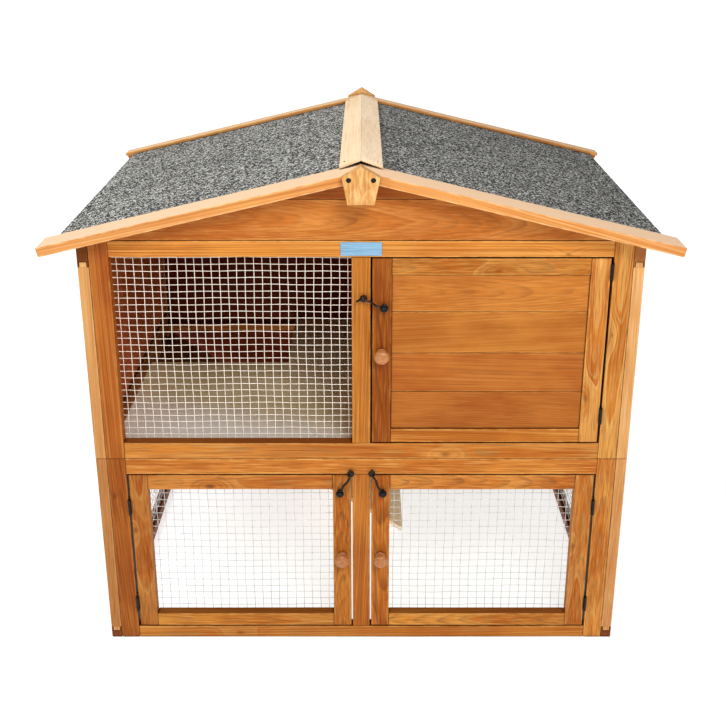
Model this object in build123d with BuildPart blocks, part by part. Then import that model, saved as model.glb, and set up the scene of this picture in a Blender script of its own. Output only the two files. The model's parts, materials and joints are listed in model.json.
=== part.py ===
"""A two-storey rabbit hutch: an upper house on an open-bottomed mesh run, under a gabled felt roof.

Millimetres, +Z up, +X to the right, +Y to the back. The origin is the bottom centre of the hutch.
"""

import os
from math import asin, atan2, cos, degrees, hypot, radians, sin, sqrt, tan

from build123d import *

os.makedirs("parts", exist_ok=True)

# ---------------------------------------------------------------- driving dimensions
body_width = 826.0          # outside faces of the two side walls
body_depth = 607.0          # front face to back face of the walls
seam_height = 332.0         # top of the lower storey, where the upper one stands
wall_height = 685.0         # top of the front and back frames
side_height = 681.0         # top of the side walls, just under the roof boards

side_thickness = 17.0       # side walls, which stand outside the front and back frames
frame_depth = 20.0          # front frame members, front to back
back_depth = 17.0           # back frame members, front to back
post_width = 29.0
stile_width = 28.0          # middle stiles of the front frame
rail_height = 27.0
top_rail_height = 25.0
ground_rail_height = 22.0

roof_pitch = radians(13.5)
ridge_height = 795.7        # top faces of the roof trims, carried to the middle plane
roof_half_width = 460.0
front_overhang = 38.0       # of the roof beyond the front wall
rear_overhang = 12.0        # of the roof beyond the back wall
trim_lip = 18.0             # thickness of a trim's hanging lip
front_flange = 55.0         # how far the front trims cover the roof, front to back
rear_flange = 29.0          # how far the rear trims cover it
trim_flange_depth = 6.5     # top face of the trim to the felt
felt_depth = 1.5
roof_depth = 14.5           # top face of the trim to the underside of the boards
eave_reach = 449.0          # felt and boards stop short of the trims' tips

deck_top = 346.0
deck_thickness = 9.0
board_thickness = 8.0
hole_x = (-388.0, -135.0)   # the deck's left edge, and the right side of its cut-away corner
hole_depth = 350.0          # where that corner starts, from the front face

door_gap = 3.0              # hinge side of a door
latch_gap = 2.0
door_clearance = 1.5        # above and below a door
door_thickness = 18.0
door_stile = 29.0
door_top_rail = 26.0
door_bottom_rail = 23.0
door_board_seams = (445.0, 508.5, 574.5)
upper_knob_height = 509.0
lower_knob_height = 156.0

mesh_pitch = 12.7
wire = 1.2

hinge_offset = 2.6          # hinge pins stand this far in front of the front face
pin_radius = 0.9
knuckle_radius = 2.2
leaf_thickness = 0.8
running_clearance = 0.05
hook_plane = 9.2            # middle of the hooks' wires, in front of the front face

# ---------------------------------------------------------------- derived places
roof_back = (front_overhang + body_depth + rear_overhang) / 2
roof_front = -roof_back
front = roof_front + front_overhang
back = roof_back - rear_overhang
outer_x = body_width / 2
inner_x = outer_x - side_thickness
post_x = inner_x - post_width
stile_x = stile_width / 2
door_outer_x = post_x - door_gap
door_inner_x = stile_x + latch_gap
hinge_x = post_x - door_gap / 2
hinge_y = front - hinge_offset
upper_sill = seam_height + rail_height
upper_head = wall_height - top_rail_height
lower_head = seam_height - rail_height
slope = tan(roof_pitch)


# ---------------------------------------------------------------- shared shapes
def write(name, solids):
    """Writes one node, made of one solid or of several separate ones."""
    node = solids[0] if len(solids) == 1 else Compound(children=solids)
    node.label = name
    export_step(node, f"parts/{name}.step")


def depth_span(near, far):
    """A front-to-back span measured from the front face."""
    return (front + near, front + far)


def member(x, y, z):
    """One straight, square-edged member filling three spans."""
    spans = (x, y, z)
    middle = tuple((low + high) / 2 for low, high in spans)
    size = [high - low for low, high in spans]
    with BuildPart() as piece:
        with Locations(middle):
            Box(*size)
    return piece.part


def outline_board(points, y):
    """A board cut to an outline of x, z points and filling a front-to-back span."""
    with BuildPart() as board:
        with BuildSketch(Plane.XZ.offset(-y[1])):
            with BuildLine():
                Polyline(*points, close=True)
            make_face()
        extrude(amount=y[1] - y[0])
    return board.part


def rectangular_frame(x, y, z, stile, bottom_rail, top_rail):
    """Two full-height stiles with two rails between them, as four members."""
    left = member((x[0], x[0] + stile), y, z)
    right = member((x[1] - stile, x[1]), y, z)
    rails_x = (x[0] + stile, x[1] - stile)
    bottom = member(rails_x, y, (z[0], z[0] + bottom_rail))
    top = member(rails_x, y, (z[1] - top_rail, z[1]))
    return [left, right, bottom, top]


def board_run(x, y, z, count):
    """Horizontal boards, edge to edge, that fill a wall or a door."""
    height = (z[1] - z[0]) / count
    return [member(x, y, (z[0] + i * height, z[0] + (i + 1) * height)) for i in range(count)]


def grid_lines(span):
    """Wire centres at mesh pitch, centred in a span."""
    count = int((span[1] - span[0] - wire) // mesh_pitch)
    first = (span[0] + span[1] - count * mesh_pitch) / 2
    return [first + i * mesh_pitch for i in range(count + 1)]


def wire_span(centre):
    return (centre - wire / 2, centre + wire / 2)


def front_mesh(x, near, z):
    """Welded mesh facing the front: level wires in front, upright wires behind them."""
    level = depth_span(near, near + wire)
    upright = depth_span(near + wire, near + 2 * wire)
    wires = [member(x, level, wire_span(c)) for c in grid_lines(z)]
    return wires + [member(wire_span(c), upright, z) for c in grid_lines(x)]


def side_mesh(side, y, z):
    """Welded mesh in the middle plane of a side wall."""
    middle = side * (outer_x - side_thickness / 2)
    level = (middle - wire, middle)
    upright = (middle, middle + wire)
    wires = [member(level, y, wire_span(c)) for c in grid_lines(z)]
    return wires + [member(upright, wire_span(c), z) for c in grid_lines(y)]


# ---------------------------------------------------------------- front frames
def build_front_frames():
    y = depth_span(0, frame_depth)
    rails_x = (-post_x, post_x)
    for side, name in ((-1, "left"), (1, "right")):
        x = tuple(sorted((side * post_x, side * inner_x)))
        write(f"upper_front_post_{name}", [member(x, y, (seam_height, wall_height))])
        write(f"lower_front_post_{name}", [member(x, y, (0, seam_height))])
    write("upper_front_top_rail", [member(rails_x, y, (upper_head, wall_height))])
    write("upper_front_bottom_rail", [member(rails_x, y, (seam_height, upper_sill))])
    write("lower_front_top_rail", [member(rails_x, y, (lower_head, seam_height))])
    write("lower_front_bottom_rail", [member(rails_x, y, (0, ground_rail_height))])
    stile = (-stile_x, stile_x)
    write("upper_front_mid_stile", [member(stile, y, (upper_sill, upper_head))])
    write("lower_front_mid_stile", [member(stile, y, (ground_rail_height, lower_head))])


def build_front_window():
    lap = 9.0
    x = (-post_x - lap, -stile_x + lap)
    z = (upper_sill - lap, upper_head + lap)
    write("front_window_mesh", front_mesh(x, frame_depth, z))


# ---------------------------------------------------------------- side walls
side_rail_height = 36.0     # upper storey's top rail
side_sole_height = 20.0     # lower storey's bottom rail
side_stile = 29.0
groove_width = 11.4
groove_depth = 8.0
tongue_width = 11.0


def grooved_rail(side, z, groove_at):
    """A full-depth side rail with a groove along the edge that faces the wall's middle."""
    x = sorted((side * inner_x, side * outer_x))
    middle = side * (outer_x - side_thickness / 2)
    with BuildPart() as rail:
        with BuildSketch(Plane.XZ.offset(-back)) as profile:
            with Locations(((x[0] + x[1]) / 2, (z[0] + z[1]) / 2)):
                Rectangle(side_thickness, z[1] - z[0])
            with Locations((middle, groove_at)):
                Rectangle(groove_width, 2 * groove_depth, mode=Mode.SUBTRACT)
        extrude(amount=body_depth)
    return rail.part


def tongued_stile(side, y, z, tongue_at):
    """A side stile with a tongue on the end that meets a grooved rail."""
    x = sorted((side * inner_x, side * outer_x))
    middle = side * (outer_x - side_thickness / 2)
    with BuildPart() as stile:
        with Locations(((x[0] + x[1]) / 2, (y[0] + y[1]) / 2, (z[0] + z[1]) / 2)):
            Box(side_thickness, y[1] - y[0], z[1] - z[0])
        with Locations((middle, (y[0] + y[1]) / 2, tongue_at)):
            Box(tongue_width, y[1] - y[0], 2 * (groove_depth - 0.5))
    return stile.part


def build_side_walls():
    front_y = depth_span(0, side_stile)
    back_y = depth_span(body_depth - side_stile, body_depth)
    between_y = (front_y[1], back_y[0])
    panel_y = (front_y[1] + 0.2, back_y[0] - 0.2)
    rail_bottom = side_height - side_rail_height
    for side, name in ((-1, "left"), (1, "right")):
        x = tuple(sorted((side * inner_x, side * outer_x)))
        middle = side * (outer_x - side_thickness / 2)
        upper = [grooved_rail(side, (rail_bottom, side_height), rail_bottom)]
        lower = [grooved_rail(side, (0, side_sole_height), side_sole_height)]
        for y in (front_y, back_y):
            upper.append(tongued_stile(side, y, (seam_height, rail_bottom), rail_bottom))
            lower.append(tongued_stile(side, y, (side_sole_height, seam_height), side_sole_height))
        upper.append(member(x, between_y, (seam_height, seam_height + rail_height)))
        lower.append(member(x, between_y, (lower_head, seam_height)))
        write(f"upper_{name}_side_frame", upper)
        write(f"lower_{name}_side_frame", lower)
        panel_x = (middle - board_thickness / 2, middle + board_thickness / 2)
        boards = board_run(panel_x, panel_y, (upper_sill, rail_bottom + groove_depth - 1), 4)
        write(f"upper_{name}_side_boards", boards)
        mesh_z = (side_sole_height - groove_depth + 1, lower_head)
        write(f"lower_{name}_side_mesh", side_mesh(side, panel_y, mesh_z))


# ---------------------------------------------------------------- back walls and gables
def build_back_walls():
    y = (back - back_depth, back)
    x = (-inner_x, inner_x)
    inside = (back - back_depth - board_thickness, back - back_depth)
    upper_z = (seam_height, wall_height)
    lower_z = (0, seam_height)
    write("upper_back_frame", rectangular_frame(x, y, upper_z, post_width, rail_height, rail_height))
    lower_rails = (ground_rail_height, ground_rail_height)
    write("lower_back_frame", rectangular_frame(x, y, lower_z, post_width, *lower_rails))
    write("upper_back_boards", board_run(x, inside, (seam_height, wall_height), 5))
    write("lower_back_boards", board_run(x, inside, (1, seam_height), 5))


def build_gables():
    """Two boards over each end frame, the upper one cut to the roof's slope."""
    joint_height = 746.0
    clearance = 0.4
    apex = ridge_height - roof_depth / cos(roof_pitch) - clearance
    foot = wall_height + 1
    foot_x = (apex - foot) / slope
    joint_x = (apex - joint_height) / slope
    lower = [(-foot_x, wall_height), (foot_x, wall_height), (foot_x, foot),
             (joint_x, joint_height), (-joint_x, joint_height), (-foot_x, foot)]
    upper = [(-joint_x, joint_height), (joint_x, joint_height), (0, apex)]
    setback = 1.0
    thickness = 15.0
    for name, y in (("front", depth_span(setback, setback + thickness)),
                    ("rear", (back - setback - thickness, back - setback))):
        write(f"{name}_gable_boards", [outline_board(lower, y), outline_board(upper, y)])


# ---------------------------------------------------------------- floor, bearers and partition
def build_floor():
    """The deck stands clear of the left wall. Its back left corner is cut away for the ramp."""
    inside_back = body_depth - back_depth - board_thickness
    gap = 0.2
    near, far = depth_span(frame_depth + gap, inside_back - gap)
    deck_bottom = deck_top - deck_thickness
    hole_near = front + hole_depth
    right = inner_x - gap
    points = [(hole_x[0], near), (right, near), (right, far),
              (hole_x[1], far), (hole_x[1], hole_near), (hole_x[0], hole_near)]
    with BuildPart() as deck:
        with BuildSketch(Plane.XY.offset(deck_bottom)):
            with BuildLine():
                Polyline(*points, close=True)
            make_face()
        extrude(amount=deck_thickness)
    write("floor_deck", [deck.part])

    bearer = 14.0
    bearer_z = (deck_bottom - bearer, deck_bottom)
    near = member((-inner_x, inner_x), depth_span(frame_depth, frame_depth + bearer), bearer_z)
    far = member((-inner_x, inner_x), depth_span(inside_back - bearer, inside_back), bearer_z)
    write("deck_bearers", [near, far])


def build_partition():
    """The wall between the open room and the nest room, with a doorway near the back."""
    thickness = 10.0
    y = depth_span(frame_depth + 3, body_depth - back_depth - board_thickness - 1)
    doorway_y = depth_span(330, 520)
    doorway_top = deck_top + 210
    with BuildPart() as wall:
        with BuildSketch(Plane.YZ.offset(-thickness / 2)):
            with Locations(((y[0] + y[1]) / 2, (deck_top + wall_height) / 2)):
                Rectangle(y[1] - y[0], wall_height - deck_top)
            with Locations(((doorway_y[0] + doorway_y[1]) / 2, (deck_top + doorway_top) / 2)):
                Rectangle(doorway_y[1] - doorway_y[0], doorway_top - deck_top, mode=Mode.SUBTRACT)
        extrude(amount=thickness)
    write("partition_wall", [wall.part])


# ---------------------------------------------------------------- roof
def roof_point(reach, depth):
    """A point on the right slope: reach out from the ridge, depth under the trims' top faces."""
    length = reach / cos(roof_pitch)
    return (length * cos(roof_pitch) - depth * sin(roof_pitch),
            ridge_height - length * sin(roof_pitch) - depth * cos(roof_pitch))


def roof_layer(reach, depths, y):
    """One layer of the right slope between two depths, mitred at the ridge."""
    shallow, deep = depths
    points = [(0, ridge_height - shallow / cos(roof_pitch)), roof_point(reach, shallow),
              roof_point(reach, deep), (0, ridge_height - deep / cos(roof_pitch))]
    return outline_board(points, y)


def right_trim(lip_y, flange_y):
    """A trim board: a lip over the end of the roof boards and a flange on top of the felt."""
    lip = roof_layer(roof_half_width, (0, roof_depth), lip_y)
    flange = roof_layer(roof_half_width, (0, trim_flange_depth), flange_y)
    with BuildPart() as trim:
        add(lip)
        add(flange)
    return trim.part


def mirrored(shape):
    """The same piece on the left."""
    with BuildPart() as left:
        add(shape)
        mirror(about=Plane.YZ, mode=Mode.REPLACE)
    return left.part


def build_roof():
    y = (roof_front + trim_lip, roof_back - trim_lip)
    board = roof_layer(eave_reach - 2, (trim_flange_depth + felt_depth, roof_depth), y)
    felt = roof_layer(eave_reach, (trim_flange_depth, trim_flange_depth + felt_depth), y)
    write("roof_panel_right", [board])
    write("roof_panel_left", [mirrored(board)])
    write("roof_felt_right", [felt])
    write("roof_felt_left", [mirrored(felt)])
    front_trim = right_trim((roof_front, roof_front + trim_lip), (roof_front, roof_front + front_flange))
    rear_trim = right_trim((roof_back - trim_lip, roof_back), (roof_back - rear_flange, roof_back))
    write("front_trims", [front_trim, mirrored(front_trim)])
    write("rear_trims", [rear_trim, mirrored(rear_trim)])


def build_ridge_cap():
    """Two boards over the ridge. They lie on the front trims, and at the back on the felt."""
    width = 31.0
    pitch = radians(21)
    thickness = 5.0
    gap = 0.2
    start = front + 5
    rest = roof_front + front_flange
    foot_on_trim = ridge_height - width * slope + gap
    foot_on_felt = foot_on_trim - trim_flange_depth / cos(roof_pitch)
    end = roof_back - rear_flange - 2 * gap
    dip = atan2(foot_on_trim - foot_on_felt, end - rest)
    length = (end - start) / cos(dip)
    rise = thickness / cos(pitch)
    peak = width * tan(pitch)
    points = [(0, peak), (width, 0), (width, rise), (0, peak + rise)]
    from_the_back = Plane(origin=(0, end, foot_on_felt), x_dir=(1, 0, 0), z_dir=(0, -cos(dip), sin(dip)))
    with BuildPart() as cap:
        with BuildSketch(from_the_back):
            with BuildLine():
                Polyline(*points, close=True)
            make_face()
        extrude(amount=length)
    write("ridge_cap", [cap.part, mirrored(cap.part)])


def build_ridge_blocks():
    """A five-sided block screwed to each end of the roof."""
    block = 17.0
    shoulder_x = 26.5
    foot_x = 18.5
    apex_z = 806.0
    shoulder_z = 790.0
    foot_z = 752.5
    outline = [(0, apex_z), (shoulder_x, shoulder_z), (foot_x, foot_z),
               (-foot_x, foot_z), (-shoulder_x, shoulder_z)]
    screw_x = 17.0
    screw_z = 787.0
    screw_radius = 1.6
    head_radius = 3.6
    head_depth = 2.2
    screws = []
    for name, side in (("front", -1), ("rear", 1)):
        y = sorted((side * roof_back, side * (roof_back + block)))
        face = side * (roof_back + block)
        heads = [(x, face, screw_z) for x in (-screw_x, screw_x)]
        with BuildPart() as ridge_block:
            add(outline_board(outline, y))
            for x, _, z in heads:
                with Locations(Plane(origin=(x, face, z), z_dir=(0, side, 0))):
                    CounterBoreHole(screw_radius, head_radius, head_depth, depth=block)
        write(f"ridge_block_{name}", [ridge_block.part])
        for x, _, z in heads:
            with BuildPart() as screw:
                with BuildSketch(Plane(origin=(x, face - side * head_depth, z), z_dir=(0, side, 0))):
                    Circle(head_radius - 0.1)
                extrude(amount=head_depth - 0.6)
                with BuildSketch(Plane(origin=(x, face - side * block, z), z_dir=(0, side, 0))):
                    Circle(screw_radius - 0.1)
                extrude(amount=block - head_depth)
            screws.append(screw.part)
    write("ridge_screws", screws)


def build_label_plate():
    plate_x = 30.0
    plate = member((-plate_x, plate_x), (front - 1.0, front), (662.5, 683.0))
    write("label_plate", [plate])


# ---------------------------------------------------------------- hinges
leaf_height = 26.0
leaf_width = 12.0
knuckle_gap = 0.3
upper_hinge_heights = (406.0, 638.0)
lower_hinge_heights = (67.0, 247.0)


def knuckle_spans(middle):
    """Bottom, middle and top knuckles of a hinge, with small gaps between them."""
    length = (leaf_height - 2 * knuckle_gap) / 3
    low = middle - leaf_height / 2
    return [(low + i * (length + knuckle_gap), low + i * (length + knuckle_gap) + length) for i in range(3)]


def door_leaf(side, height, on_post):
    """One hinge leaf with its knuckles: on the post, or on the door's edge beside it."""
    spans = knuckle_spans(height)
    spans = [spans[0], spans[2]] if on_post else [spans[1]]
    if on_post:
        plate_x = sorted((side * post_x, side * (post_x - leaf_thickness)))
    else:
        plate_x = sorted((side * door_outer_x, side * (door_outer_x + leaf_thickness)))
    plate_middle = (plate_x[0] + plate_x[1]) / 2
    with BuildPart() as leaf:
        with Locations((plate_middle, front + 0.1 + leaf_width / 2, height)):
            Box(leaf_thickness, leaf_width, leaf_height)
        for low, high in spans:
            with Locations((plate_middle, (hinge_y + front + 0.2) / 2, (low + high) / 2)):
                Box(leaf_thickness, front + 0.2 - hinge_y, high - low)
            with BuildSketch(Plane.XY.offset(low)):
                with Locations((side * hinge_x, hinge_y)):
                    Circle(knuckle_radius)
            extrude(amount=high - low)
            with BuildSketch(Plane.XY.offset(low)):
                with Locations((side * hinge_x, hinge_y)):
                    Circle(pin_radius + running_clearance)
            extrude(amount=high - low, mode=Mode.SUBTRACT)
    return leaf.part


def door_pin(side, height):
    with BuildPart() as pin:
        with BuildSketch(Plane.XY.offset(height - leaf_height / 2)):
            with Locations((side * hinge_x, hinge_y)):
                Circle(pin_radius)
        extrude(amount=leaf_height)
    return pin.part


# the ramp's two hinges: an upright leaf on the left wall, a leaf along the ramp's top face
ramp_pivot_x = -inner_x + 3.5
ramp_pivot_z = 326.0
ramp_y = depth_span(326, 562)
ramp_length = 570.0
ramp_thickness = 8.0
ramp_top = 1.4              # top face above the line from the pivot
ramp_start = 6.0
ramp_hinge_depths = (375.0, 513.0)
ramp_lowest = ramp_top - ramp_thickness
foot_clearance = 0.3
ramp_angle = (asin((ramp_pivot_z - foot_clearance) / hypot(ramp_length, ramp_lowest))
              - atan2(-ramp_lowest, ramp_length))
ramp_plane = Plane(origin=(ramp_pivot_x, 0, ramp_pivot_z),
                   x_dir=(cos(ramp_angle), 0, -sin(ramp_angle)),
                   z_dir=(0, -1, 0))


def ramp_solid(points, y):
    """A solid drawn on the ramp's own side view: along the ramp, and up from it."""
    with BuildPart() as piece:
        with BuildSketch(ramp_plane.offset(-y[1])):
            with BuildLine():
                Polyline(*points, close=True)
            make_face()
        extrude(amount=y[1] - y[0])
    return piece.part


def strip(x, z):
    return [(x[0], z[0]), (x[1], z[0]), (x[1], z[1]), (x[0], z[1])]


def ramp_knuckle(y):
    with BuildPart() as knuckle:
        with BuildSketch(ramp_plane.offset(-y[1])):
            Circle(knuckle_radius)
            Circle(pin_radius + running_clearance, mode=Mode.SUBTRACT)
        extrude(amount=y[1] - y[0])
    return knuckle.part


def ramp_leaf(depth, on_wall):
    spans = knuckle_spans(front + depth)
    whole = (front + depth - leaf_height / 2, front + depth + leaf_height / 2)
    spans = [spans[0], spans[2]] if on_wall else [spans[1]]
    with BuildPart() as leaf:
        if on_wall:
            plate_x = (-inner_x, -inner_x + leaf_thickness)
            add(member(plate_x, whole, (ramp_pivot_z - 22, ramp_pivot_z - 4)))
        else:
            add(ramp_solid(strip((4, 22), (ramp_top, ramp_top + leaf_thickness)), whole))
        for y in spans:
            if on_wall:
                add(member(plate_x, y, (ramp_pivot_z - 5, ramp_pivot_z + knuckle_radius / 2)))
                add(member((-inner_x, ramp_pivot_x - pin_radius - 0.3), y,
                           (ramp_pivot_z - 0.6, ramp_pivot_z + 0.6)))
            else:
                add(ramp_solid(strip((0, 5), (ramp_top, ramp_top + leaf_thickness)), y))
            add(ramp_knuckle(y))
        if not on_wall:
            with BuildSketch(ramp_plane.offset(-whole[1])):
                Circle(pin_radius + running_clearance)
            extrude(amount=leaf_height, mode=Mode.SUBTRACT)
    return leaf.part


def ramp_pin(depth):
    with BuildPart() as pin:
        with BuildSketch(ramp_plane.offset(-(front + depth + leaf_height / 2))):
            Circle(pin_radius)
        extrude(amount=leaf_height)
    return pin.part


def build_frame_hinges():
    leaves = [door_leaf(1, z, True) for z in upper_hinge_heights]
    pins = [door_pin(1, z) for z in upper_hinge_heights]
    for side in (-1, 1):
        leaves += [door_leaf(side, z, True) for z in lower_hinge_heights]
        pins += [door_pin(side, z) for z in lower_hinge_heights]
    leaves += [ramp_leaf(depth, True) for depth in ramp_hinge_depths]
    pins += [ramp_pin(depth) for depth in ramp_hinge_depths]
    write("frame_hinge_leaves", leaves)
    write("hinge_pins", pins)


def build_ramp():
    board = ramp_solid(strip((ramp_start, ramp_length), (ramp_lowest, ramp_top)), ramp_y)
    write("ramp_board", [board])
    rung = 6.0
    rung_rise = 5.0
    rung_inset = 14.0
    rung_count = 8
    pitch = (ramp_length - 60) / rung_count
    rung_y = (ramp_y[0] + rung_inset, ramp_y[1] - rung_inset)
    starts = [60 + i * pitch for i in range(rung_count)]
    rungs = [ramp_solid(strip((x, x + rung), (ramp_top, ramp_top + rung_rise)), rung_y) for x in starts]
    write("ramp_rungs", rungs)
    write("ramp_hinge_leaves", [ramp_leaf(depth, False) for depth in ramp_hinge_depths])


# ---------------------------------------------------------------- knobs, hooks and eyes
def knob(x, z):
    """A turned wooden knob standing out from a door."""
    neck = 6.0
    ball = 11.6
    height = 22.0
    with BuildPart() as turned:
        with BuildSketch(Plane.XY.offset(z)) as profile:
            with BuildLine():
                Polyline((x, front), (x + 8.5, front), (x + 8.5, front - 2), (x + neck, front - 4),
                         (x + neck, front - 8))
                Spline((x + neck, front - 8), (x + ball, front - 14.5), (x + 7.5, front - 20.5),
                       (x, front - height), tangents=((1, -0.4), (-1, 0)))
                Line((x, front - height), (x, front))
            make_face()
        revolve(profile.sketch, axis=Axis((x, front, z), (0, 1, 0)), revolution_arc=360)
    return turned.part


def front_disc(x, z, near, far, radius):
    """A round piece lying between two distances in front of the front face."""
    with BuildPart() as disc:
        with BuildSketch(Plane.XZ.offset(-(front - near))):
            with Locations((x, z)):
                Circle(radius)
        extrude(amount=far - near)
    return disc.part


pivot_radius = 1.93
ring_inner = 2.0
ring_outer = 4.0
hook_wire = 1.0


def pivot_screw(x, z):
    """The round-headed screw that a hook turns on."""
    with BuildPart() as screw:
        add(front_disc(x, z, 0, hook_plane - hook_wire - 0.3, 3.2))
        add(front_disc(x, z, 0, hook_plane + hook_wire + 0.5, pivot_radius))
        add(front_disc(x, z, hook_plane + hook_wire + 0.3, hook_plane + hook_wire + 2.0, 3.6))
    return screw.part


def hook(pivot, eye, curl_side):
    """A wire hook: a ring on its pivot, a straight shank and a curl that drops over the eye."""
    reach_x = eye[0] - pivot[0]
    reach_z = eye[1] - pivot[1]
    length = hypot(reach_x, reach_z)
    along = Vector(reach_x / length, 0, reach_z / length)
    across = Vector(-along.Z * curl_side, 0, along.X * curl_side)
    centre = Vector(pivot[0], front - hook_plane, pivot[1])
    curl = 4.2
    start = centre + along * (ring_inner + 0.8)
    bend = centre + along * (length - curl)
    crest = bend + along * curl + across * curl
    tip = bend + across * 2 * curl
    with BuildPart() as wire_hook:
        with BuildLine() as route:
            Line(start, bend)
            ThreePointArc(bend, bend + (along + across * (sqrt(2) - 1)) * (curl * sqrt(0.5)), crest)
            ThreePointArc(crest, bend + (along + across * (sqrt(2) + 1)) * (curl * sqrt(0.5)), tip)
        with BuildSketch(Plane(origin=start, z_dir=along)):
            Circle(hook_wire)
        sweep(path=route.wires()[0])
        with BuildSketch(Plane.XZ.offset(-(front - hook_plane + hook_wire))):
            with Locations((pivot[0], pivot[1])):
                Circle(ring_outer)
                Circle(ring_inner, mode=Mode.SUBTRACT)
        extrude(amount=2 * hook_wire)
        with BuildSketch(Plane.XZ.offset(-(front - hook_plane + 2 * hook_wire))):
            with Locations((pivot[0], pivot[1])):
                Circle(ring_inner)
        extrude(amount=4 * hook_wire, mode=Mode.SUBTRACT)
    return wire_hook.part


def latch_eye(x, z):
    """A screw eye in the frame: a shank and an upright ring facing the front."""
    ring = 3.3
    ring_wire = 0.9
    shank = 1.2
    ring_y = front - hook_plane + hook_wire + ring_wire + 0.5
    with BuildPart() as eye:
        with Locations(Plane(origin=(x, ring_y, z), z_dir=(0, 1, 0))):
            Torus(ring, ring_wire)
        add(front_disc(x, z - ring, 0, front - ring_y, shank))
    return eye.part


upper_hook = dict(pivot=(33.5, 584.5), eye=(3.5, 598.0), curl_side=-1)
left_hook = dict(pivot=(-33.5, 275.5), eye=(-16.5, 308.0), curl_side=1)
right_hook = dict(pivot=(33.5, 275.5), eye=(16.5, 308.0), curl_side=-1)


def build_latch_eyes():
    write("latch_eyes", [latch_eye(*item["eye"]) for item in (upper_hook, left_hook, right_hook)])


# ---------------------------------------------------------------- doors
def build_door(name, side, z, hinge_heights, knob_z, latch):
    """Writes a door's frame, knob, fittings and hook. Its edges stand clear of the front frame."""
    x = tuple(sorted((side * door_inner_x, side * door_outer_x)))
    y = depth_span(0, door_thickness)
    write(f"{name}_frame", rectangular_frame(x, y, z, door_stile, door_bottom_rail, door_top_rail))
    write(f"{name}_knob", [knob(side * (door_inner_x + door_stile / 2), knob_z)])
    fittings = [door_leaf(side, height, False) for height in hinge_heights]
    write(f"{name}_fittings", fittings + [pivot_screw(*latch["pivot"])])
    write(f"{name}_hook", [hook(**latch)])
    return (x[0] + door_stile, x[1] - door_stile), (z[0] + door_bottom_rail, z[1] - door_top_rail)


def build_doors():
    upper_z = (upper_sill + door_clearance, upper_head - door_clearance)
    lower_z = (ground_rail_height + door_clearance, lower_head - door_clearance)
    hinges = upper_hinge_heights
    panel_x, panel_z = build_door("upper_door", 1, upper_z, hinges, upper_knob_height, upper_hook)
    board_y = depth_span(3, 3 + board_thickness)
    edges = (panel_z[0], *door_board_seams, panel_z[1])
    boards = [member(panel_x, board_y, span) for span in zip(edges, edges[1:])]
    write("upper_door_boards", boards)
    lap = 8.0
    for side, name, latch in ((-1, "lower_left_door", left_hook), (1, "lower_right_door", right_hook)):
        window_x, window_z = build_door(name, side, lower_z, lower_hinge_heights, lower_knob_height, latch)
        mesh_x = (window_x[0] - lap, window_x[1] + lap)
        mesh_z = (window_z[0] - lap, window_z[1] + lap)
        write(f"{name}_mesh", front_mesh(mesh_x, door_thickness, mesh_z))


build_front_frames()
build_front_window()
build_side_walls()
build_back_walls()
build_gables()
build_floor()
build_partition()
build_roof()
build_ridge_cap()
build_ridge_blocks()
build_label_plate()
build_frame_hinges()
build_ramp()
build_latch_eyes()
build_doors()
print("ramp angle", round(degrees(ramp_angle), 3))
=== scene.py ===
"""Looks of the rabbit hutch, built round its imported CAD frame.

Metres, +Z up, +X to the right seen from the front, +Y to the back. Every timber piece is built from
its CAD node's box as separate boards with eased edges, and each board carries its own grain.
"""

import json
import math

import bmesh
import bpy
import numpy as np
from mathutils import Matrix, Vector


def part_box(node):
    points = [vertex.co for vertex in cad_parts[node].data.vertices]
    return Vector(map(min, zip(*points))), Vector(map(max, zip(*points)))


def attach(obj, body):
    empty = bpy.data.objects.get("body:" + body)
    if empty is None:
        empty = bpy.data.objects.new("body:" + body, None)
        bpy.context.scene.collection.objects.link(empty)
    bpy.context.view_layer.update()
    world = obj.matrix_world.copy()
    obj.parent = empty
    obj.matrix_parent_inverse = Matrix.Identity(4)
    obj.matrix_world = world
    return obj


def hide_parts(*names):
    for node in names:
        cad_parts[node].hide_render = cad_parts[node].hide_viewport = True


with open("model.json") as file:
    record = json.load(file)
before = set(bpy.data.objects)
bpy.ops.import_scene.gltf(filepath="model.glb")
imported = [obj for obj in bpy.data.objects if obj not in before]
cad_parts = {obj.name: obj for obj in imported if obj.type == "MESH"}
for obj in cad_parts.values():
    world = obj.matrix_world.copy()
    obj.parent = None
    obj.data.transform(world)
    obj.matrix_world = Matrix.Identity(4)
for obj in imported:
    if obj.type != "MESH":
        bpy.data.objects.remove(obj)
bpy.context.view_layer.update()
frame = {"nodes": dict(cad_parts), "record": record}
draws = np.random.RandomState(20)

record = frame["record"]
body_of = {node: body for body, nodes in record["behaviour"]["bodies"].items() for node in nodes}
joint_places = {joint["name"]: joint["pos_m"] for joint in record["behaviour"]["joints"]}

# ---------------- driving dimensions
roof_pitch = math.radians(13.5)
trim_lip = 0.018
trim_flange_depth = 0.0065
roof_depth = 0.0145
felt_thickness = 0.0015
door_stile = 0.029
door_top_rail = 0.026
door_bottom_rail = 0.023
door_board_seams = (0.4450, 0.5085, 0.5745)
side_stile = 0.029
side_top_rail = 0.036
side_sole_rail = 0.020
side_mid_rail = 0.027
groove_width = 0.0114
groove_depth = 0.008
tongue_width = 0.011
tongue_root = 0.001
tongue_gap = 0.0005
ramp_angle = math.radians(34.182)
gable_board_rise = 0.061
bearer_width = 0.014

X, Y, Z = np.eye(3)
grain_axes = [(1, 2), (2, 0), (0, 1)]  # the axes across a board whose grain runs along axis 0, 1 or 2


def rgb(red, green, blue):
    """A linear colour from display values of 0 to 255."""
    linear = [((c / 255 + 0.055) / 1.055) ** 2.4 for c in (red, green, blue)]
    return (*linear, 1.0)


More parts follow.
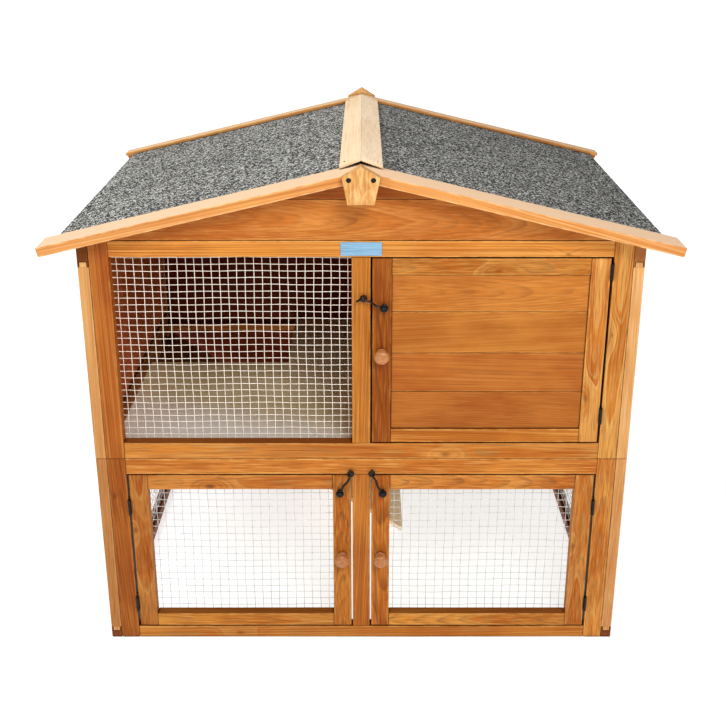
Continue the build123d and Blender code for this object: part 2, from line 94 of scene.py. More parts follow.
# ---------------- shader building
class Shader:
    """A material under construction. Each method adds a node and returns its output socket."""

    def __init__(self, name):
        self.material = bpy.data.materials.new(name)
        self.material.use_nodes = True
        self.tree = self.material.node_tree
        self.tree.nodes.clear()

    def node(self, kind, inputs=(), **settings):
        node = self.tree.nodes.new("ShaderNode" + kind)
        for key, value in settings.items():
            setattr(node, key, value)
        for key, value in dict(inputs).items():
            if isinstance(value, bpy.types.NodeSocket):
                self.tree.links.new(value, node.inputs[key])
            else:
                node.inputs[key].default_value = value
        return node

    def math(self, operation, *values):
        return self.node("Math", enumerate(values), operation=operation).outputs[0]

    def vector(self, operation, *values):
        return self.node("VectorMath", enumerate(values), operation=operation).outputs[0]

    def attribute(self, name):
        """The three numbers of a vertex attribute, and the whole vector."""
        vector = self.node("Attribute", attribute_name=name).outputs["Vector"]
        return (*self.node("SeparateXYZ", {0: vector}).outputs, vector)

    def place(self):
        return self.node("TexCoord").outputs["Object"]

    def noise(self, vector, scale=1.0, detail=2.0, roughness=0.5):
        inputs = {"Vector": vector, "Scale": scale, "Detail": detail, "Roughness": roughness}
        return self.node("TexNoise", inputs).outputs[0]

    def cells(self, vector, scale, output):
        return self.node("TexVoronoi", {"Vector": vector, "Scale": scale}).outputs[output]

    def crevice_shade_mask(self, reach, strength):
        """How enclosed a spot is by what stands within reach of it, as the mask for painted shade."""
        node = self.node("AmbientOcclusion", {"Distance": reach}, samples=8)
        return self.step(node.outputs["AO"], 0.85, 0.25, 0.0, strength)

    def step(self, value, low, high, to_low=0.0, to_high=1.0):
        """The value eased from one range to another, and held outside it."""
        inputs = {"Value": value, "From Min": low, "From Max": high, "To Min": to_low, "To Max": to_high}
        return self.node("MapRange", inputs, interpolation_type="SMOOTHSTEP").outputs[0]

    def curve(self, value, stops):
        """A grey ramp through (place, level) stops."""
        ramp = self.node("ValToRGB", {0: value})
        elements = ramp.color_ramp.elements
        while len(elements) < len(stops):
            elements.new(0.5)
        for element, (at, level) in zip(elements, stops):
            element.position = at
            element.color = (level, level, level, 1)
        return ramp.outputs[0]

    def mix(self, factor, first, second, blend="MIX"):
        node = self.node("Mix", {0: factor, 6: first, 7: second}, data_type="RGBA", blend_type=blend)
        return node.outputs[2]

    def tinted(self, color, hue=0.5, value=1.0):
        return self.node("HueSaturation", {"Hue": hue, "Value": value, "Color": color}).outputs[0]

    def finish(self, color, roughness, height=None, depth=0.0005, strength=0.5, **settings):
        inputs = {"Base Color": color, "Roughness": roughness}
        if height is not None:
            bump = {"Height": height, "Distance": depth, "Strength": strength}
            inputs["Normal"] = self.node("Bump", bump).outputs[0]
        for key, value in settings.items():
            inputs[key.replace("_", " ")] = value
        shade = self.node("BsdfPrincipled", inputs).outputs[0]
        self.node("OutputMaterial", {"Surface": shade})
        return self.material


# ---------------- materials
def wood(name, pale, deep, dark_line, pale_line, ring=0.0033, sway=0.007, lines=0.7, streaks=0.35,
         fibres=1.0, patches=0.75, rough=0.5, gloss=0.1, wear=0.5, end=0.5, top_face_painted_light=0.0,
         top_face_painted_color=rgb(124, 62, 16)):
    """Stained softwood with growth rings about each board's own pith, read from its attributes.

    Ring is their spacing, sway how far they wander, and rough and gloss are the varnish's. The rest are
    strengths: of the ring lines, the fine fibres, the streaks and patches of deeper stain, the rubbed
    edges, the dark end grain and the painted light on faces that look up: painted shade by default,
    a painted highlight where its colour is pale, as on the trims.
    """
    wide_ring = ring * 4.3
    ripple_depth = 0.0014
    knot_length = 0.030
    knot_width = 0.011
    knot_bow = 3.2
    knot_slant = 0.55
    # The colour towards which crevices and joints are darkened as painted shade.
    crevice_shade_color = rgb(40, 14, 3)

    s = Shader(name)
    _, y, z, log = s.attribute("log")
    value, warmth, paleness, _ = s.attribute("tone")
    edge, cap, flame, _ = s.attribute("marks")
    knot_along, knot_across, knot_radius, _ = s.attribute("knot")

    def noise(scales, detail=2.0, roughness=0.5):
        """Noise in the board's own space, drawn out along the grain."""
        return s.noise(s.vector("MULTIPLY", log, scales), detail=detail, roughness=roughness)

    def times(first, second):
        return s.math("MULTIPLY", first, second)

    bend = noise((4.0, 22.0, 22.0))
    ripple = noise((22.0, 90.0, 90.0))
    radius = s.math("SQRT", s.math("ADD", times(y, y), times(z, z)))
    swayed = s.math("MULTIPLY_ADD", bend, sway, radius)
    swayed = s.math("MULTIPLY_ADD", ripple, ripple_depth, swayed)
    far_along = s.math("POWER", s.math("DIVIDE", knot_along, knot_length), 2.0)
    far_across = s.math("POWER", s.math("DIVIDE", knot_across, knot_width), 2.0)
    swell = s.math("EXPONENT", times(s.math("ADD", far_along, far_across), -1.0))
    swayed = s.math("MULTIPLY_ADD", swell, times(knot_radius, knot_bow), swayed)

    ring_place = s.math("FRACT", s.math("DIVIDE", swayed, ring))
    line = s.curve(ring_place, [(0.0, 0.0), (0.5, 0.1), (0.82, 0.8), (0.92, 1.0), (1.0, 0.0)])
    wide_place = s.math("FRACT", s.math("DIVIDE", swayed, wide_ring))
    arch_stops = [(0.0, 0.0), (0.5, 0.0), (0.54, 1.0), (0.62, 0.5), (0.92, 0.4), (1.0, 0.0)]
    arch = s.curve(wide_place, arch_stops)
    broad = noise((0.8, 46.0, 46.0), detail=3.0, roughness=0.6)
    fibre = noise((1.6, 420.0, 420.0), roughness=0.65)
    blotch = noise((5.0, 10.0, 10.0), detail=4.0, roughness=0.6)
    fade = noise((16.0, 30.0, 30.0))

    patchy = s.step(blotch, 0.36, 0.64, 0.0, patches)
    depth = s.math("ADD", patchy, s.step(broad, 0.36, 0.64, 0.0, streaks))
    color = s.mix(depth, pale, deep)
    color = s.mix(times(arch, flame), color, pale_line)
    line_color = s.mix(paleness, dark_line, pale_line)
    shown = s.math("ADD", s.step(fade, 0.3, 0.65, 0.25 * lines, lines), times(swell, 0.3))
    line_mask = times(line, s.math("MULTIPLY_ADD", flame, 0.2, shown))
    color = s.mix(line_mask, color, line_color)
    color = s.mix(s.step(fibre, 0.48, 0.7, 0.0, 0.42 * fibres), color, dark_line)
    color = s.mix(s.step(fibre, 0.5, 0.3, 0.0, 0.34 * fibres), color, pale_line)

    knot_run = times(knot_along, knot_slant)
    size = s.math("SQRT", s.math("MULTIPLY_ADD", knot_run, knot_run, times(knot_across, knot_across)))
    size = s.math("ADD", s.math("DIVIDE", size, knot_radius), s.math("MULTIPLY_ADD", ripple, 1.4, -0.7))
    color = s.mix(s.step(size, 1.3, 0.1, 0.0, 0.6), color, dark_line)

    rub = noise((60.0, 200.0, 200.0))
    color = s.mix(times(edge, s.step(rub, 0.35, 0.7, 0.1 * wear, wear)), color, pale_line)
    color = s.mix(times(cap, end), color, dark_line)
    # Painted light on faces that look up: darker as shade on the frames and side walls, paler as a
    # highlight on the trims.
    up = s.node("SeparateXYZ", {0: s.node("NewGeometry").outputs["Normal"]}).outputs[2]
    color = s.mix(s.step(up, 0.8, 0.98, 0.0, top_face_painted_light), color, top_face_painted_color)
    color = s.tinted(color, hue=s.math("ADD", warmth, 0.5))
    green = s.math("POWER", value, 1.5)
    blue = s.math("POWER", value, 2.1)
    shade = s.node("CombineXYZ", {0: value, 1: green, 2: blue}).outputs[0]
    color = s.mix(1.0, color, shade, "MULTIPLY")
    # Painted shade: crevices, inner corners and the joints between parts are darkened.
    color = s.mix(s.crevice_shade_mask(0.010, 0.8), color, s.mix(0.85, color, crevice_shade_color))

    height = s.math("ADD", times(fibre, 0.8), times(line, 0.5))
    roughness = s.math("ADD", s.math("MULTIPLY_ADD", fibre, 0.22, rough - 0.1), times(cap, 0.15))
    return s.finish(color, roughness, height, depth=0.0005, strength=0.6, Specular_IOR_Level=gloss)


def roofing_felt():
    """Bitumen felt under mineral granules of several greys."""
    granules = 460.0
    s = Shader("roofing_felt")
    place = s.place()
    shade = s.cells(place, granules, "Color")
    grain = s.cells(place, granules, "Distance")
    level, tint, _ = s.node("SeparateXYZ", {0: shade}).outputs
    cloud = s.noise(place, 7.0, detail=3.0)
    clump = s.noise(place, 210.0, detail=3.0, roughness=0.7)
    pick = s.math("MULTIPLY_ADD", cloud, 0.2, s.math("ADD", level, -0.75))
    pick = s.math("MULTIPLY_ADD", clump, 1.3, pick)
    color = s.mix(s.step(pick, 0.12, 0.5), rgb(16, 17, 17), rgb(82, 83, 82))
    color = s.mix(s.step(pick, 0.58, 0.88), color, rgb(240, 240, 232))
    color = s.mix(s.step(tint, 0.88, 1.0, 0.0, 0.5), color, rgb(120, 104, 80))
    # The tone's value brightens or darkens the felt; the roof sets it per slope as painted light.
    color = s.tinted(color, value=s.attribute("tone")[0])
    height = s.math("SUBTRACT", s.math("MULTIPLY", level, 0.6), grain)
    return s.finish(color, 0.85, height, depth=0.0012, strength=0.9, Specular_IOR_Level=0.3)


def galvanised_wire(name, dull, bright):
    s = Shader(name)
    place = s.place()
    bloom = s.noise(place, 90.0, detail=3.0)
    spangle = s.noise(place, 900.0, detail=2.0)
    color = s.mix(s.step(bloom, 0.3, 0.7), dull, bright)
    rough = s.step(spangle, 0.2, 0.8, 0.32, 0.55)
    return s.finish(color, rough, spangle, depth=0.0002, strength=0.3, Metallic=0.06)


def black_metal(name, color, rough):
    s = Shader(name)
    place = s.place()
    coat = s.noise(place, 350.0, detail=3.0)
    scuff = s.noise(place, 60.0, detail=4.0)
    shade = s.mix(s.step(scuff, 0.6, 0.78, 0.0, 0.3), color, rgb(28, 20, 16))
    gloss = s.step(coat, 0.3, 0.7, rough - 0.06, rough + 0.1)
    return s.finish(shade, gloss, coat, depth=0.0002, strength=0.25, Specular_IOR_Level=0.28)


def floor_sheet():
    """A pale wipe-clean sheet, yellowish, with a painted pool of light that makes it near white at the
    front left, and faint marks.
    """
    s = Shader("floor_sheet")
    place = s.place()
    x, y, _ = s.node("SeparateXYZ", {0: place}).outputs
    wash = s.noise(place, 9.0, detail=4.0, roughness=0.6)
    scratch = s.noise(s.vector("MULTIPLY", place, (30.0, 240.0, 240.0)), detail=3.0)
    color = s.mix(s.step(wash, 0.3, 0.7), rgb(212, 194, 144), rgb(230, 214, 170))
    # Painted light: near white towards the front left, where light comes in through the window.
    front_light_pool = s.math("MULTIPLY_ADD", x, 0.35, s.math("MULTIPLY_ADD", wash, 0.06, y))
    color = s.mix(s.step(front_light_pool, -0.14, -0.27), color, rgb(255, 252, 242))
    color = s.mix(s.step(scratch, 0.62, 0.72, 0.0, 0.15), color, rgb(178, 166, 134))
    return s.finish(color, s.step(wash, 0.3, 0.7, 0.28, 0.42), scratch, depth=0.0002, strength=0.3)


def blank_plate():
    s = Shader("blank_plate")
    place = s.place()
    brushed = s.noise(s.vector("MULTIPLY", place, (40.0, 900.0, 900.0)), detail=3.0)
    color = s.mix(s.step(brushed, 0.3, 0.7), rgb(108, 152, 184), rgb(142, 182, 208))
    return s.finish(color, 0.35, brushed, depth=0.0002, strength=0.3, Metallic=0.2)


def studio_floor():
    """White paper with a painted glow, an emission that is weaker near the hutch and grows away from it.
    """
    s = Shader("studio_floor")
    place = s.place()
    mottle = s.noise(place, 3.0, detail=2.0)
    color = s.mix(s.step(mottle, 0.2, 0.8), rgb(180, 184, 188), rgb(188, 192, 196))
    away = s.node("VectorMath", {0: place}, operation="LENGTH").outputs["Value"]
    # Painted glow: the paper's emission grows from 0.74 near the hutch to 1 far from it.
    glow = s.step(away, 0.9, 2.6, 0.74, 1.0)
    return s.finish(color, 0.9, Emission_Color=(1, 1, 1, 1), Emission_Strength=glow,
                    Specular_IOR_Level=0.0)


# Its faces that look up are darkened as painted shade.
stained = wood("stained_frame", rgb(215, 138, 54), rgb(183, 99, 28), rgb(118, 56, 11),
               rgb(242, 188, 106), top_face_painted_light=0.8)
stained_boards = wood("stained_boards", rgb(212, 136, 58), rgb(181, 100, 32), rgb(128, 62, 15),
                      rgb(234, 176, 100), ring=0.0027, lines=0.55, streaks=0.16, fibres=0.6)
# Its faces that look up are darkened as painted shade.
side_timber = wood("side_frame_wood", rgb(226, 170, 106), rgb(210, 146, 82), rgb(164, 100, 46),
                   rgb(242, 202, 150), lines=0.5, top_face_painted_light=0.8)
block_timber = wood("block_wood", rgb(226, 160, 84), rgb(212, 141, 66), rgb(174, 102, 42),
                    rgb(248, 206, 146), lines=0.35, streaks=0.2, patches=0.35, wear=0.9)
inside_boards = wood("inside_boards", rgb(176, 92, 36), rgb(130, 58, 20), rgb(84, 34, 12),
                     rgb(206, 134, 66), ring=0.0040, lines=0.5)
# Its faces that look up are paled as a painted highlight.
trim_timber = wood("trim_wood", rgb(230, 162, 86), rgb(210, 134, 62), rgb(164, 92, 36),
                   rgb(248, 208, 150), lines=0.5, patches=0.5, wear=0.8, top_face_painted_light=0.85,
                   top_face_painted_color=rgb(248, 216, 180))
pale_timber = wood("pale_wood", rgb(248, 222, 184), rgb(238, 204, 162), rgb(214, 168, 124),
                   rgb(252, 234, 206), lines=0.3, streaks=0.3, end=0.1)
turned_timber = wood("turned_wood", rgb(216, 148, 82), rgb(176, 102, 46), rgb(126, 66, 26),
                     rgb(238, 190, 130), ring=0.0026, sway=0.002, lines=0.35, patches=0.4,
                     rough=0.34, gloss=0.5)
roof_timber = wood("roof_board", rgb(206, 160, 104), rgb(170, 118, 70), rgb(120, 76, 40),
                   rgb(226, 188, 136))
felt_finish = roofing_felt()
wire_finish = galvanised_wire("galvanised_wire", rgb(254, 238, 220), rgb(255, 248, 236))
dull_wire_finish = galvanised_wire("dull_wire", rgb(200, 200, 197), rgb(230, 229, 225))
hook_finish = black_metal("black_wire", rgb(3, 2, 2), 0.16)
hinge_finish = black_metal("black_steel", rgb(7, 4, 3), 0.4)
nail_finish = black_metal("nail_heads", rgb(132, 84, 44), 0.45)
sheet_finish = floor_sheet()
plate_finish = blank_plate()


# ---------------- pieces
def link(name, mesh, material):
    piece = bpy.data.objects.new(name, mesh)
    bpy.context.scene.collection.objects.link(piece)
    mesh.materials.append(material)
    return piece


def stand_for(piece, *nodes):
    """The piece rides with its CAD nodes' body and is shown in their place."""
    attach(piece, body_of[nodes[0]])
    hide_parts(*nodes)


def smooth(mesh):
    mesh.polygons.foreach_set("use_smooth", [True] * len(mesh.polygons))


def ring_faces(start, rings, sides):
    """Faces between rings of points that follow one another."""
    faces = []
    for near in range(start, start + (rings - 1) * sides, sides):
        for i in range(sides):
            a, b = near + i, near + (i + 1) % sides
            faces.append((a, b, b + sides, a + sides))
    return faces


def new_mesh(name, points, faces):
    mesh = bpy.data.meshes.new(name)
    mesh.from_pydata(points, [], faces)
    smooth(mesh)
    return mesh


def face_outwards(mesh):
    shape = bmesh.new()
    shape.from_mesh(mesh)
    bmesh.ops.recalc_face_normals(shape, faces=shape.faces)
    shape.to_mesh(mesh)
    shape.free()


def write_grain(mesh, log, tone, marks, knot):
    """Stores what the wood materials read: three numbers of each kind per point."""
    for name, values in (("log", log), ("tone", tone), ("marks", marks), ("knot", knot)):
        attribute = mesh.attributes.new(name, "FLOAT_VECTOR", "POINT")
        attribute.data.foreach_set("vector", np.asarray(values).astype(np.float32).ravel())


def weigh_normals(piece):
    """Flat faces stay flat beside their rounded edges."""
    piece.modifiers.new("weighted_normals", "WEIGHTED_NORMAL").keep_sharp = True


def eased_outline(points, bevel):
    """The outline with its corners rounded, and how worn each of its points is."""
    round_middle = 0.293
    ring = []
    worn = []
    count = len(points)
    for i in range(count):
        here = np.array(points[i])
        before = np.array(points[i - 1]) - here
        after = np.array(points[(i + 1) % count]) - here
        span = min(np.linalg.norm(before), np.linalg.norm(after))
        before = before / np.linalg.norm(before)
        after = after / np.linalg.norm(after)
        ease = min(bevel, 0.3 * span)
        hold = min(2.5 * ease, 0.45 * span)
        ring += [here + before * hold, here + before * ease,
                 here + (before + after) * ease * round_middle,
                 here + after * ease, here + after * hold]
        worn += [0.0, 0.8, 1.0, 0.8, 0.0]
    return np.array(ring), np.array(worn)


def rectangle(width, top, bottom=0.0):
    """A board's outline, from bottom to top."""
    return [(0, bottom), (width, bottom), (width, top), (0, top)]


def inset(ring, amount):
    """The outline moved inwards; it runs counter-clockwise."""
    run = np.roll(ring, -1, axis=0) - np.roll(ring, 1, axis=0)
    run = run / np.linalg.norm(run, axis=1)[:, None]
    return ring + np.stack([-run[:, 1], run[:, 0]], axis=1) * amount


class Timber:
    """Boards gathered into one piece. Each board has its own grain, knot, tone and wear."""

    def __init__(self, bevel=0.0012, tone=(1.0, 0.0), spread=0.05, flat=0.0002):
        self.bevel = bevel
        self.tone = tone
        self.spread = spread
        self.flat = flat
        self.points = []
        self.faces = []
        self.grains = {"log": [], "tone": [], "marks": [], "knot": []}
        self.count = 0

    def grain(self, along, u, v, knot, paleness, value, warmth=0.0, face="v", flame=0.0):
        """Log, tone and knot of one board from its own coordinates: rings about a slightly tilted pith.

        A flamed board is cut close to the pith, so that its rings close in arches on its front face.
        Value is how light the board is, or several levels spread along it.
        """
        no_knot = [9.0, 9.0, 0.004]
        reach = draws.uniform(0.012, 0.07)
        turn = draws.uniform(0, 2 * math.pi)
        tilt = draws.uniform(-0.055, 0.055, 2)
        offset = draws.uniform(-3, 3)
        y = u - reach * math.cos(turn) - tilt[0] * along
        z = v - reach * math.sin(turn) - tilt[1] * along
        if flame:
            across, into = (v, u) if face == "v" else (u, v)
            y = across - (across.min() + across.max()) / 2 - 0.4 * tilt[0] * along
            z = into + 0.006 + 0.4 * reach + 1.6 * tilt[1] * along
        log = np.stack([along + offset, y, z], axis=1)
        brightness = self.tone[0] * (1 + draws.uniform(-self.spread, self.spread))
        levels = np.atleast_1d(brightness if value is None else value)
        shade = np.interp(along, np.linspace(along.min(), along.max(), len(levels)), levels)
        warmth = self.tone[1] + warmth + draws.uniform(-0.004, 0.004)
        tone = np.stack([shade, shade * 0 + warmth, shade * 0 + paleness], axis=1)
        far = np.tile(no_knot, (len(along), 1))
        if knot is not None:
            across = v if face == "v" else u
            far = np.stack([along - knot[0], across - knot[1], np.full(len(along), knot[2])], axis=1)
        return log, tone, far

    def member(self, outline, length, origin, axes, bend=None, knot=None, paleness=0.2, value=None,
               flame=0.0, warmth=0.0, face="v"):
        """One straight board: an outline of u, v points swept along the first of its three axes."""
        bevel = self.bevel
        station_step = 0.045
        ring, worn = eased_outline(outline, bevel)
        ring = inset(ring, self.flat)
        steps = max(1, int(round(length / station_step)))
        inner = np.linspace(2.5 * bevel, length - 2.5 * bevel, steps + 1)
        straight = [0.0] * len(inner)
        stations = [0.0, 0.3 * bevel, bevel, *inner, length - bevel, length - 0.3 * bevel, length]
        insets = [0.75 * bevel, 0.22 * bevel, 0.0, *straight, 0.0, 0.22 * bevel, 0.75 * bevel]
        caps = [1.0, 0.6, 0.15, *straight, 0.15, 0.6, 1.0]
        along = np.repeat(stations, len(ring))
        flat = np.concatenate([inset(ring, amount) for amount in insets])
        u, v = flat[:, 0], flat[:, 1]
        phase = draws.uniform(0, 6.28, 4)
        wobble = 0.8 * self.flat
        u = u + wobble * (np.sin(along * 11 + phase[0]) + 0.5 * np.sin(along * 37 + phase[1])) / 1.5
        v = v + wobble * (np.sin(along * 13 + phase[2]) + 0.5 * np.sin(along * 31 + phase[3])) / 1.5
        if bend is not None:
            along, u, v = bend(along, u, v)
        log, tone, far = self.grain(along - length / 2, u, v, knot, paleness, value, warmth, face, flame)
        worn_here = np.tile(worn, len(stations))
        marks = np.stack([worn_here, np.repeat(caps, len(ring)), 0 * along + flame], axis=1)
        places = np.stack([along, u, v], axis=1) @ np.array(axes)
        self.points.append(np.array(origin) + places)
        for name, values in zip(self.grains, (log, tone, marks, far)):
            self.grains[name].append(values)
        size = len(ring)
        first, self.count = self.count, self.count + size * len(stations)
        self.faces += ring_faces(first, len(stations), size)
        self.faces.append(tuple(range(first + size - 1, first - 1, -1)))
        self.faces.append(tuple(range(self.count - size, self.count)))
        return self

    def beam(self, low, high, along, **grain):
        """A square-edged board that fills a box, with its grain along axis 0, 1 or 2."""
        low, high = np.array(low), np.array(high)
        across, up = grain_axes[along]
        axes = np.eye(3)[[along, across, up]]
        width, height = high[across] - low[across], high[up] - low[up]
        outline = rectangle(width, height)
        face = "u" if along == 2 else "v"
        return self.member(outline, high[along] - low[along], low, axes, face=face, **grain)

    def stack(self, low, high, along, count):
        """Boards one above the other that fill a box."""
        height = (high[2] - low[2]) / count
        for i in range(count):
            level = low[2] + i * height
            self.beam((low[0], low[1], level), (high[0], high[1], low[2] + (i + 1) * height), along)
            if i:
                self.seam_tongue(low, high, along, level)
        return self

    def seam_tongue(self, low, high, along, level):
        """A thin dark tongue inside the seam between two boards, so that no light comes through.

        It takes no random draws from the boards that follow.
        """
        half_height = 0.0025
        half_thickness = 0.001
        short = 0.001
        kept_draws = draws.get_state()
        through = 1 - along
        middle = (low[through] + high[through]) / 2
        bottom, top = [0, 0, level - half_height], [0, 0, level + half_height]
        bottom[through], top[through] = middle - half_thickness, middle + half_thickness
        bottom[along], top[along] = low[along] + short, high[along] - short
        self.beam(bottom, top, along, value=0.3)
        draws.set_state(kept_draws)

    def ring_frame(self, low, high, stile, rail):
        """Two full-height stiles along Z and two rails along X between them."""
        low, high = np.array(low), np.array(high)
        self.beam(low, (low[0] + stile, high[1], high[2]), 2)
        self.beam((high[0] - stile, low[1], low[2]), high, 2)
        self.beam((low[0] + stile, low[1], low[2]), (high[0] - stile, high[1], low[2] + rail), 0)
        self.beam((low[0] + stile, low[1], high[2] - rail), (high[0] - stile, high[1], high[2]), 0)
        return self

    def repaint(self, chosen, value, warmth=0.0):
        """Gives the points that a test picks another tone, such as the outer faces of a wall."""
        for points, tone in zip(self.points, self.grains["tone"]):
            picked = chosen(points)
            own = np.clip(tone[picked, 0] / self.tone[0], 0.94, 1.06)
            tone[picked, 0] = value * own
            tone[picked, 1] += warmth
        return self

    def piece(self, name, material, *nodes):
        """The boards as one piece that stands for its CAD nodes."""
        mesh = new_mesh(name, np.concatenate(self.points).tolist(), self.faces)
        write_grain(mesh, *[np.concatenate(values) for values in self.grains.values()])
        face_outwards(mesh)
        piece = link(name, mesh, material)
        weigh_normals(piece)
        stand_for(piece, *nodes)


class Wires:
    """Round wires gathered into one piece."""

    def __init__(self):
        self.points = []
        self.faces = []

    def tube(self, path, radius, sides=6):
        """One round wire along a path, closed at its ends."""
        start = len(self.points)
        path = np.array(path)
        run = np.gradient(path, axis=0)
        run = run / np.linalg.norm(run, axis=1)[:, None]
        helper = Y if abs(run[0][1]) < 0.7 else X
        side = np.cross(run, helper)
        side = side / np.linalg.norm(side, axis=1)[:, None]
        up = np.cross(run, side)
        for i in range(len(path)):
            for j in range(sides):
                angle = 2 * math.pi * j / sides
                spoke = math.cos(angle) * side[i] + math.sin(angle) * up[i]
                self.points.append(tuple(path[i] + radius * spoke))
        self.faces += ring_faces(start, len(path), sides)
        self.faces.append(tuple(range(start, start + sides)))
        self.faces.append(tuple(range(len(self.points) - 1, len(self.points) - sides - 1, -1)))

    def piece(self, name, material, *nodes):
        """The wires as one piece that stands for its CAD nodes."""
        stand_for(link(name, new_mesh(name, self.points, self.faces), material), *nodes)


def whole_beam(node, along, **grain):
    """A single-board node as one detailed board."""
    low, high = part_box(node)
    Timber().beam(low, high, along, **grain).piece(node + "_timber", stained, node)


def carved(node, material, along, bevel=0.0008, tone=(1.0, 0.0), grained=True):
    """A copy of a single-solid node with its edges eased and a grain of its own."""
    mesh = frame["nodes"][node].data.copy()
    mesh.name = node + "_shape"
    shape = bmesh.new()
    shape.from_mesh(mesh)
    bmesh.ops.remove_doubles(shape, verts=shape.verts, dist=1e-6)
    bmesh.ops.dissolve_limit(shape, angle_limit=0.01, verts=shape.verts, edges=shape.edges)
    sharp = [e for e in shape.edges if len(e.link_faces) == 2 and e.calc_face_angle() > 0.5]
    eased = bmesh.ops.bevel(shape, geom=sharp, offset=bevel, segments=2, profile=0.6, affect="EDGES",
                            clamp_overlap=True)
    shape.verts.index_update()
    worn = {vertex.index for face in eased["faces"] for vertex in face.verts}
    bmesh.ops.recalc_face_normals(shape, faces=shape.faces)
    shape.to_mesh(mesh)
    shape.free()
    mesh.materials.clear()
    smooth(mesh)
    if grained:
        co = np.array([v.co for v in mesh.vertices])
        co = co - (co.min(0) + co.max(0)) / 2
        across, up = grain_axes[along]
        board = Timber(tone=tone)
        log, tones, far = board.grain(co[:, along], co[:, across], co[:, up], None, 0.3, None)
        marks = np.array([[float(i in worn), 0, 0] for i in range(len(co))])
        write_grain(mesh, log, tones, marks, far)
    piece = link(node + "_shape", mesh, material)
    weigh_normals(piece)
    stand_for(piece, node)


# ---------------- front frames
def build_front_frames():
    """Board by board: the grain's direction, how light the board is, its warmth and its figure."""
    boards = (("upper_front_post_left", 2, 0.70, -0.002, 0.0, None),
              ("upper_front_post_right", 2, 0.86, -0.003, 0.9, (0.03, 0.006, 0.003)),
              ("upper_front_top_rail", 0, 1.04, 0.002, 0.0, (0.30, 0.004, 0.003)),
              ("upper_front_bottom_rail", 0, 0.91, 0.0, 0.25, (0.13, 0.008, 0.004)),
              ("upper_front_mid_stile", 2, 0.80, 0.0, 0.0, None),
              ("lower_front_post_left", 2, 0.62, -0.002, 0.0, (0.1, 0.008, 0.004)),
              ("lower_front_post_right", 2, 0.92, -0.001, 0.3, None),
              ("lower_front_top_rail", 0, 1.02, 0.0, 0.0, None),
              ("lower_front_bottom_rail", 0, 0.9, -0.001, 0.3, (-0.2, 0.008, 0.004)),
              ("lower_front_mid_stile", 2, 0.84, 0.0, 0.0, None))
    for node, along, value, warmth, flame, knot in boards:
        whole_beam(node, along, value=value, warmth=warmth, flame=flame, knot=knot,
                   paleness=0.2 + 0.5 * flame)


# ---------------- side walls
def grooved_outline(width, height, groove_below):
    """A rail's section, u across its thickness and v up, with a groove along one edge."""
    near = (width - groove_width) / 2
    far = near + groove_width
    outline = [(0, 0), (near, 0), (near, groove_depth), (far, groove_depth), (far, 0), (width, 0),
               (width, height), (0, height)]
    if not groove_below:
        outline = [(u, height - v) for u, v in reversed(outline)]
    return outline


def side_frame(storey, side, tone, rail, rail_painted_shade, paleness, outer_value):
    """A grooved rail, two stiles with tongues in its groove, and a plain rail at their other ends.

    The grooved rail is the top one upstairs and the sole downstairs.
    """
    name = f"{storey}_{side}_side"
    low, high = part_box(name + "_frame")
    out = 1 if side == "right" else -1
    width = high.x - low.x
    middle = (low.x + high.x) / 2
    on_top = storey == "upper"
    if on_top:
        seam = high.z - rail
        rail_low, stiles_z, plain_z = seam, (low.z, seam), (low.z, low.z + side_mid_rail)
        tongue_z = (seam - tongue_root, seam + groove_depth - tongue_gap)
    else:
        seam = low.z + rail
        rail_low, stiles_z, plain_z = low.z, (seam, high.z), (high.z - side_mid_rail, high.z)
        tongue_z = (seam - groove_depth + tongue_gap, seam + tongue_root)

    timber = Timber(tone=(tone, 0.0))
    # The grooved rail's value darkens it as painted shade.
    timber.member(grooved_outline(width, rail, on_top), high.y - low.y, (low.x, low.y, rail_low),
                  (Y, X, Z), value=rail_painted_shade)
    tongue_x = (middle - tongue_width / 2, middle + tongue_width / 2)
    for y in ((low.y, low.y + side_stile), (high.y - side_stile, high.y)):
        timber.beam((low.x, y[0], stiles_z[0]), (high.x, y[1], stiles_z[1]), 2, paleness=paleness)
        timber.beam((tongue_x[0], y[0] + 0.0002, tongue_z[0]), (tongue_x[1], y[1], tongue_z[1]), 2,
                    paleness=0.6, value=0.92)
    # The plain rail's low value is painted shade.
    timber.beam((low.x, low.y + side_stile, plain_z[0]), (high.x, high.y - side_stile, plain_z[1]), 1,
                value=0.4)

    # The outer faces take a tone of their own; the ends and inner faces keep the frame's tone, which
    # carries painted light.
    def outer_faces(points):
        """Outer faces behind the front end."""
        outer = out * points[:, 0] > out * middle + 0.005
        return outer & (points[:, 1] > low.y + 0.0025)

    timber.repaint(outer_faces, outer_value)
    timber.piece(name + "_timber", side_timber, name + "_frame")


def build_side_wall(side):
    """The right wall's frames are painted lighter than the left one's, as painted light from the right;
    their rails are painted darker as shade.
    """
    right = side == "right"
    side_frame("upper", side, 0.90 if right else 0.82, side_top_rail, 0.7 if right else 0.3, 0.7, 0.86)
    side_frame("lower", side, 0.82 if right else 0.62, side_sole_rail, 0.36, 0.6, 0.82)
    name = f"upper_{side}"
    low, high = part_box(name + "_side_boards")
    out = 1 if right else -1
    middle = (low.x + high.x) / 2
    boards = Timber(tone=(1.15, -0.02)).stack(low, high, 1, 4)
    boards.repaint(lambda points: out * points[:, 0] > out * middle, 0.84, 0.02)
    boards.piece(name + "_side_planks", stained_boards, name + "_side_boards")


